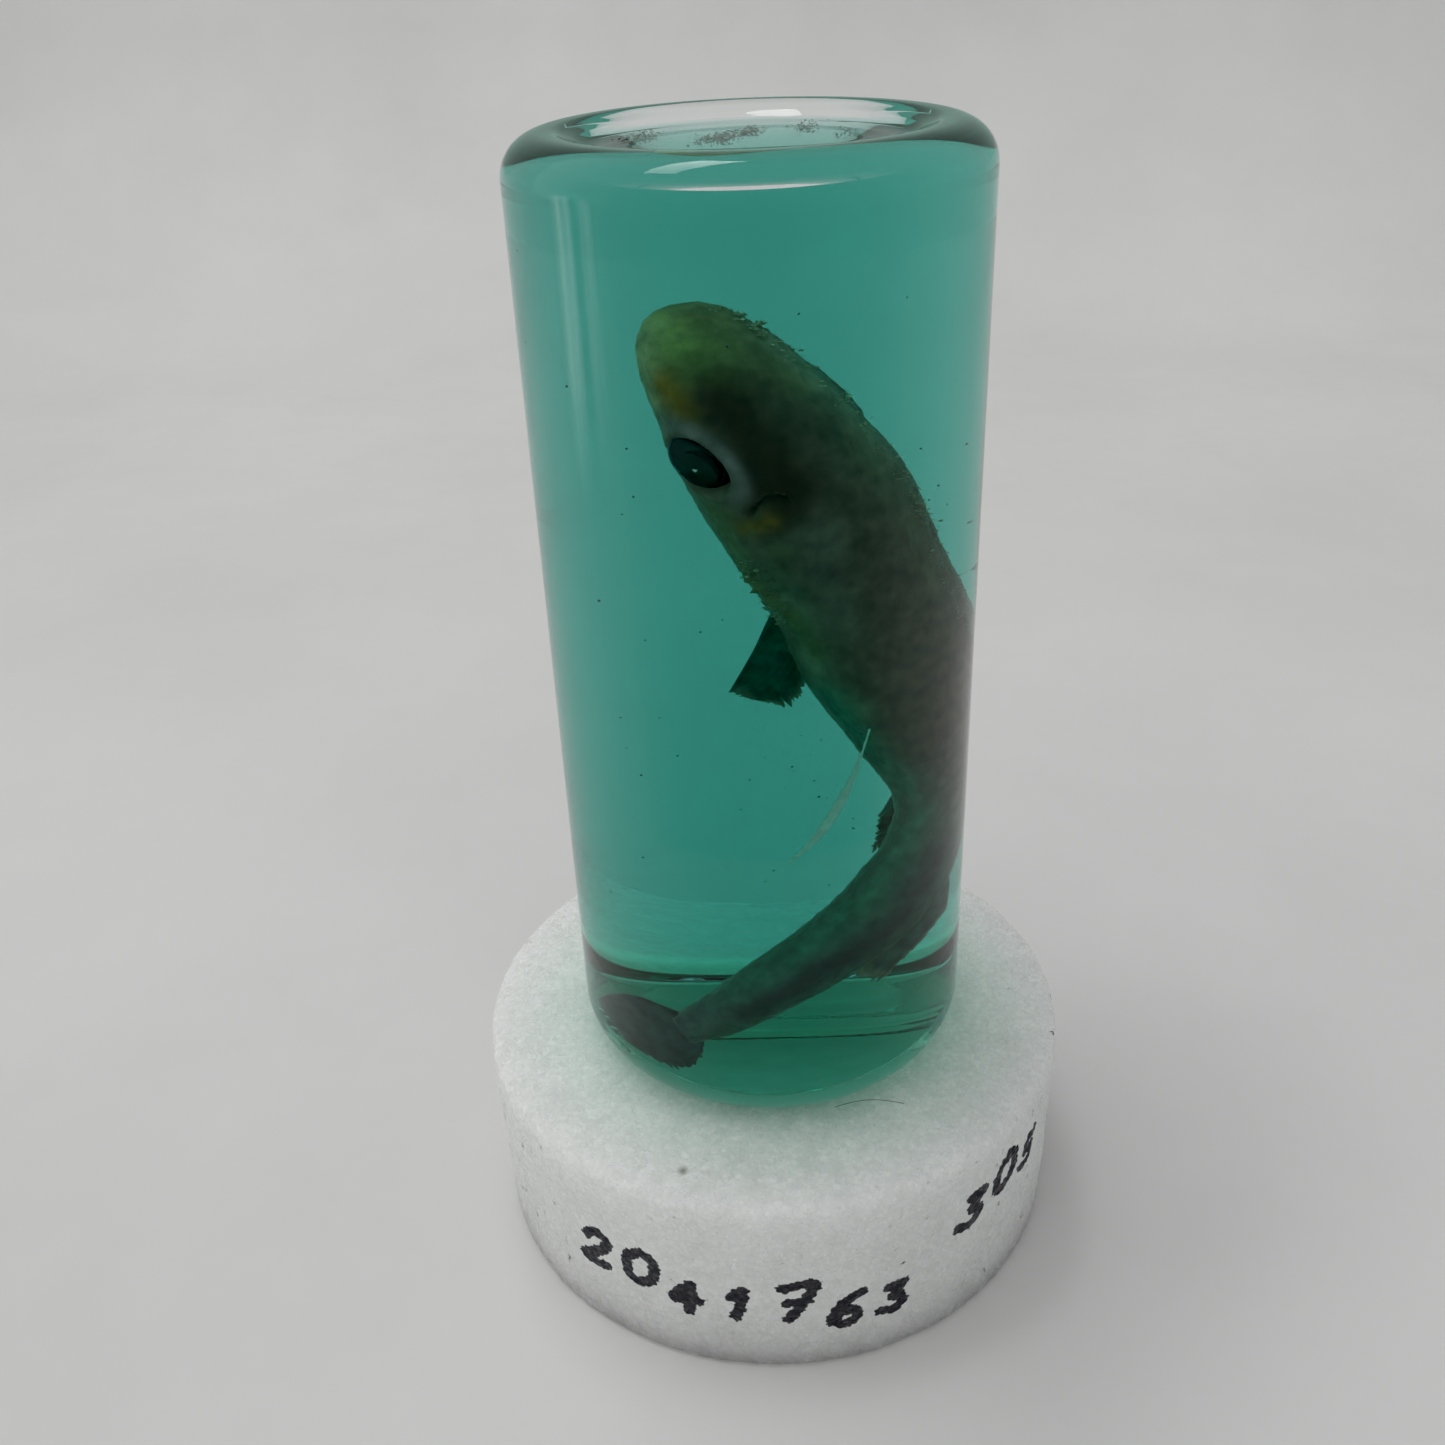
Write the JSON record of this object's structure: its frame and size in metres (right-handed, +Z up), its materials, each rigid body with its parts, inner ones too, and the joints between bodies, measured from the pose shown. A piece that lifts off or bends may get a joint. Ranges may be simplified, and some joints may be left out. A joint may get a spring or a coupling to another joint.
{
  "type": "specimen jar",
  "caption": "Inverted glass jar of tinted preserving liquid with a small preserved shark, stood neck-down in a round white foam stand.",
  "frame": {"origin": "centre of the foam stand's underside, on the surface that it stands on", "axes": "+Z up along the axis of the jar and the stand; -Y is the front, where the marked number faces"},
  "size_m": [0.108, 0.108, 0.1952],
  "materials": {
    "white_foam": "expanded polyethylene foam, white, matt with fine cells",
    "clear_glass": "clear, glossy",
    "cap_plastic": "white moulded plastic, matt",
    "liner_foam": "white foamed plastic, matt",
    "tinted_liquid": "clear blue-green liquid",
    "specimen_skin": "wet grey-brown skin, satin",
    "specimen_fin": "wet grey-brown fin, satin",
    "specimen_eye": "wet, dark",
    "pale_tissue": "pale wet tissue"
  },
  "bodies": {
    "stand": {"foam_base": "white_foam"},
    "jar": {"glass_jar": "clear_glass"},
    "contents": {"preserving_fluid": "tinted_liquid", "specimen_body": "specimen_skin", "eye_left": "specimen_eye", "eye_right": "specimen_eye", "pectoral_fin_left": "specimen_fin", "pectoral_fin_right": "specimen_fin", "pelvic_fin_left": "specimen_fin", "pelvic_fin_right": "specimen_fin", "first_dorsal_fin": "specimen_fin", "second_dorsal_fin": "specimen_fin", "caudal_fin": "specimen_fin", "tissue_strand": "pale_tissue"},
    "liner": {"cap_liner": "liner_foam"},
    "cap": {"screw_cap": "cap_plastic"}
  },
  "joints": [
    {"name": "jar_lift", "type": "slide", "parent": "stand", "child": "jar", "axis": [0, 0, 1], "range_m": [0, 0.05]},
    {"name": "contents_turn", "type": "hinge", "parent": "jar", "child": "contents", "pos_m": [0, 0, 0.11], "axis": [0, 0, 1], "continuous": true},
    {"name": "cap_travel", "type": "slide", "parent": "jar", "child": "liner", "axis": [0, 0, -1], "range_m": [0, 0.00765]},
    {"name": "cap_turn", "type": "hinge", "parent": "liner", "child": "cap", "pos_m": [0, 0, 0.03], "axis": [0, 0, -1], "range_deg": [0, 540]}
  ],
  "couplings": [
    {"joint": "cap_travel", "follows": "cap_turn", "m_per_rad": 0.00080851}
  ]
}
